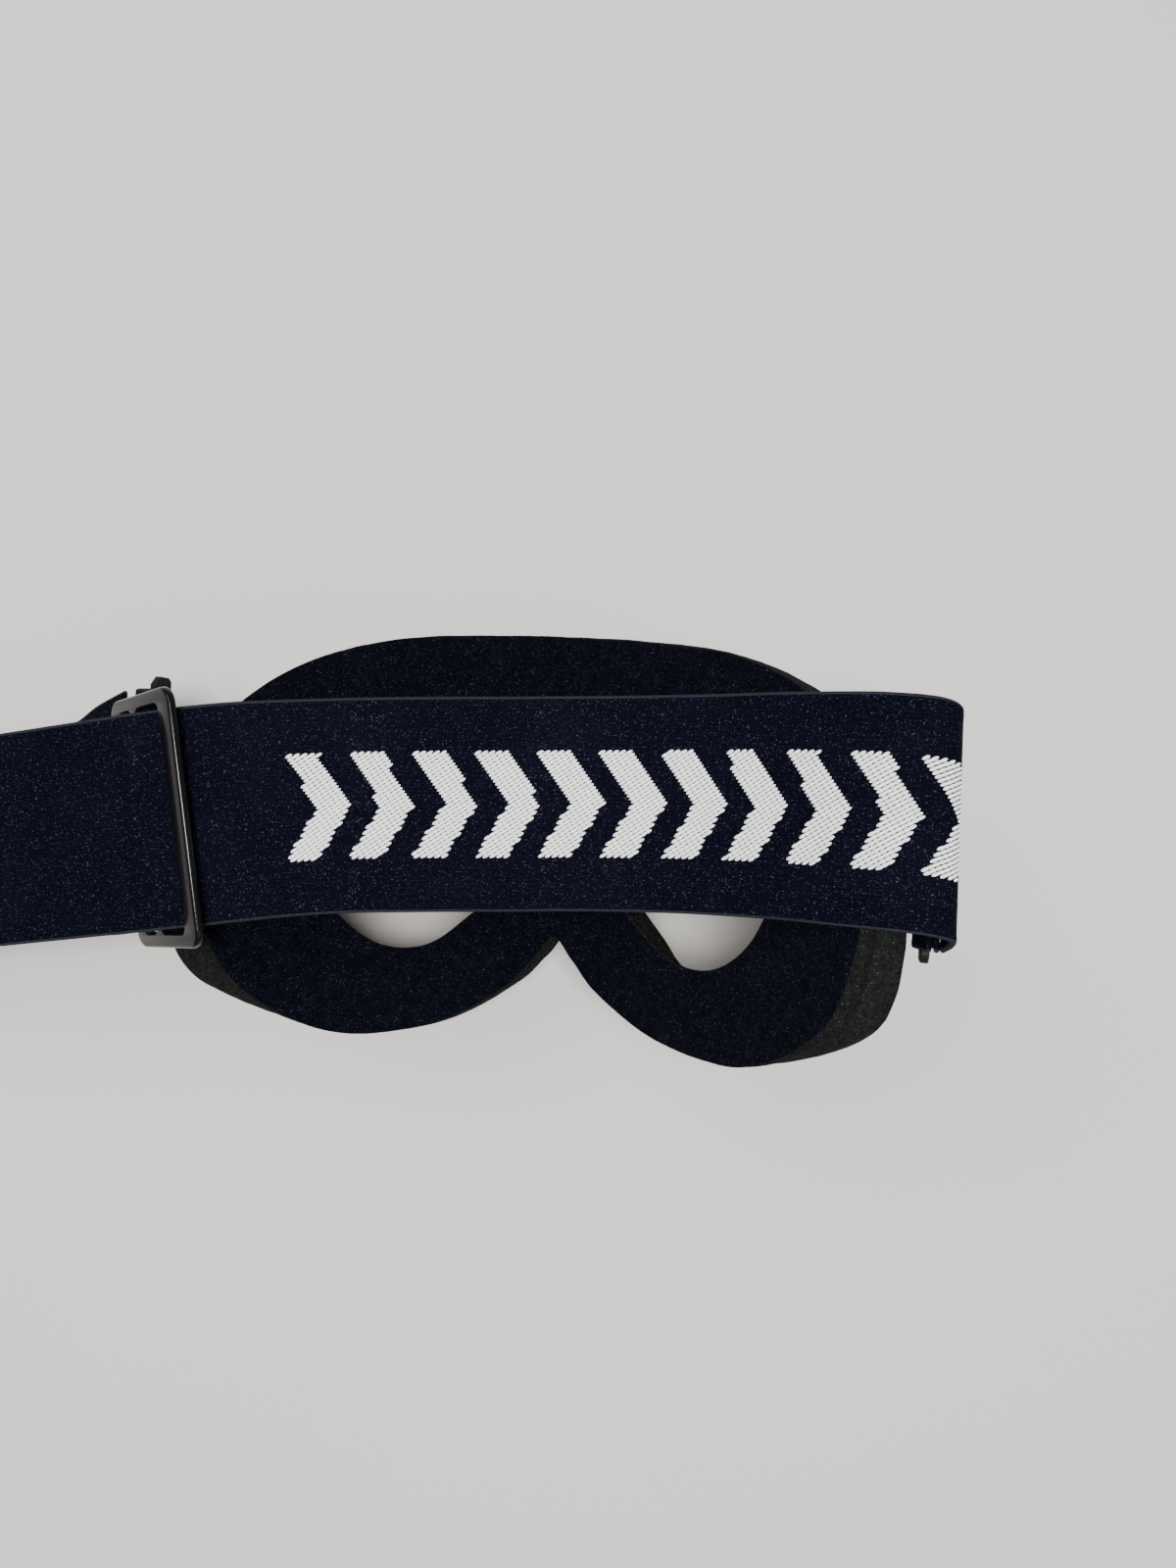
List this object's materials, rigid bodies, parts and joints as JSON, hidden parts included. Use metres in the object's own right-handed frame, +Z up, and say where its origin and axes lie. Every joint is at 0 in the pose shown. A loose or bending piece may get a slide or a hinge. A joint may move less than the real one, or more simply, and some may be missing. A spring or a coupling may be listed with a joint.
{
  "type": "snow goggles",
  "caption": "Snow goggles with a double curved lens, vented frame, foam and fleece face pad, hinged strap arms and a wide woven elastic strap with a sliding adjuster.",
  "frame": {"origin": "on the surface the goggles lie on, under the middle of their bounding box", "axes": "+X towards the wearer's right along the strap, +Y towards the forehead edge, +Z up from the lens to the face pad"},
  "size_m": [0.2952, 0.1044, 0.0959],
  "materials": {
    "lens_clear": "clear, faint warm tint",
    "lens_clear_inner": "clear",
    "seal_foam": "closed-cell foam",
    "rim_plastic": "satin",
    "frame_tpu": "satin moulded",
    "vent_foam_top": "open-cell foam",
    "vent_foam_bottom_left": "open-cell foam",
    "vent_foam_bottom_right": "open-cell foam",
    "foam_grey": "grey-green open-cell foam",
    "foam_charcoal": "grey-green open-cell foam",
    "fleece_navy": "short-pile fleece",
    "arm_plastic_left": "satin moulded",
    "arm_plastic_right": "satin moulded",
    "pin_left": "drawn",
    "pin_right": "drawn",
    "strap_right_loop": "woven elastic",
    "strap_right_side": "woven elastic",
    "strap_main": "woven elastic with a white woven pattern",
    "strap_left_fold": "woven elastic",
    "strap_left_lower": "woven elastic",
    "strap_left_loop": "woven elastic",
    "strap_inner_layer": "woven elastic",
    "strap_sewn_end": "woven elastic",
    "slider_plastic": "polished",
    "thread_right": "dense stitching",
    "thread_slider": "dense stitching"
  },
  "bodies": {
    "goggles": {"outer_lens": "lens_clear", "inner_lens": "lens_clear_inner", "lens_seal": "seal_foam", "front_rim": "rim_plastic", "frame_body": "frame_tpu", "vent_foam_top": "vent_foam_top", "vent_foam_bottom_left": "vent_foam_bottom_left", "vent_foam_bottom_right": "vent_foam_bottom_right", "face_foam_base": "foam_grey", "face_foam_top": "foam_charcoal", "face_fleece": "fleece_navy", "arm_pin_left": "pin_left", "arm_pin_right": "pin_right", "strap_right_side": "strap_right_side", "strap_main": "strap_main", "strap_left_fold": "strap_left_fold", "strap_left_lower": "strap_left_lower", "strap_inner_layer": "strap_inner_layer"},
    "slider": {"slider_frame": "slider_plastic", "strap_sewn_end": "strap_sewn_end", "bar_tack_slider": "thread_slider"},
    "right_arm": {"strap_arm_right": "arm_plastic_right", "strap_right_loop": "strap_right_loop", "bar_tack_right": "thread_right"},
    "left_arm": {"strap_arm_left": "arm_plastic_left", "strap_left_loop": "strap_left_loop"}
  },
  "joints": [
    {"name": "slider_slide", "type": "slide", "parent": "goggles", "child": "slider", "axis": [-0.9618, -0.1181, -0.247], "range_m": [-0.004, 0.045], "deforming": ["strap_inner_layer"]},
    {"name": "right_arm_hinge", "type": "hinge", "parent": "goggles", "child": "right_arm", "pos_m": [0.1436, 0.00325, 0.07065], "axis": [0.0523, 0.9986, 0], "range_deg": [-3, 15], "deforming": ["strap_right_side"]},
    {"name": "left_arm_hinge", "type": "hinge", "parent": "goggles", "child": "left_arm", "pos_m": [-0.04236, 0.01349, 0.03106], "axis": [0.0523, 0.9986, 0], "range_deg": [-15, 12], "deforming": ["strap_left_lower"]}
  ]
}
